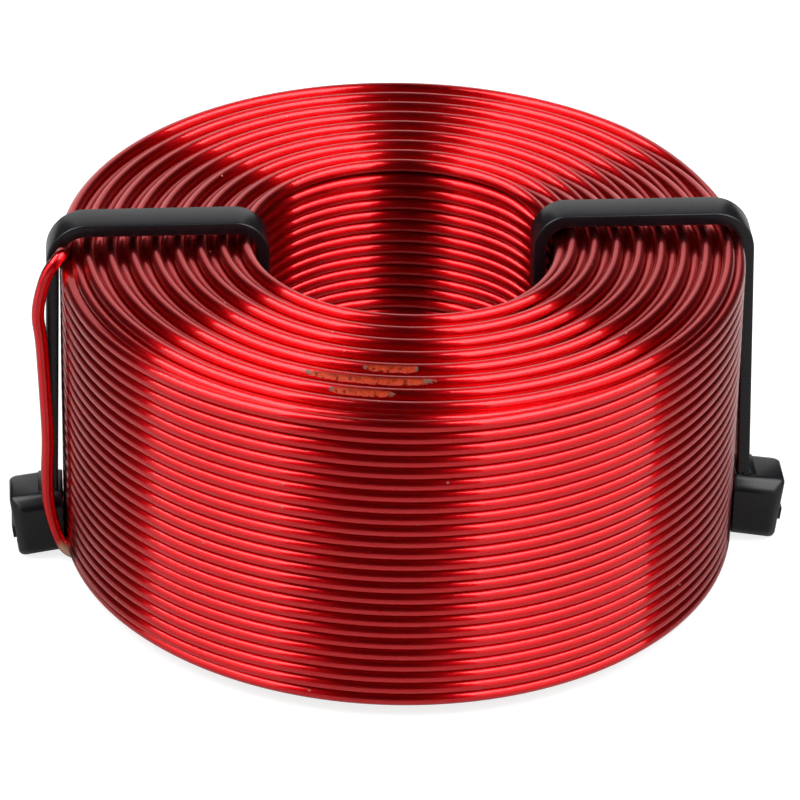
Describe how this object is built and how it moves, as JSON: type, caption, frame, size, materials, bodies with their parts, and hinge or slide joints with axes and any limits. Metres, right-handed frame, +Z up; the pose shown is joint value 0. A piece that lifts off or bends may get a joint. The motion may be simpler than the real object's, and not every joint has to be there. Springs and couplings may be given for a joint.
{
  "type": "crossover coil",
  "caption": "Air-core inductor for a loudspeaker crossover: a ring of layered red enamelled copper wire with an open bore, held by black cable ties, with wire leads.",
  "frame": {"origin": "on the axis of the bore, at the level of the surface that the coil stands on", "axes": "+Z up along the axis of the bore, +X towards the right cable tie, -Y towards the viewer"},
  "size_m": [0.0786, 0.068, 0.0355],
  "materials": {
    "enamelled_copper": "clear glossy red enamel over copper wire",
    "tie_plastic": "smooth moulded black nylon"
  },
  "bodies": {
    "root": {"winding": "enamelled_copper", "cable_tie_left": "tie_plastic", "cable_tie_right": "tie_plastic"}
  },
  "joints": []
}
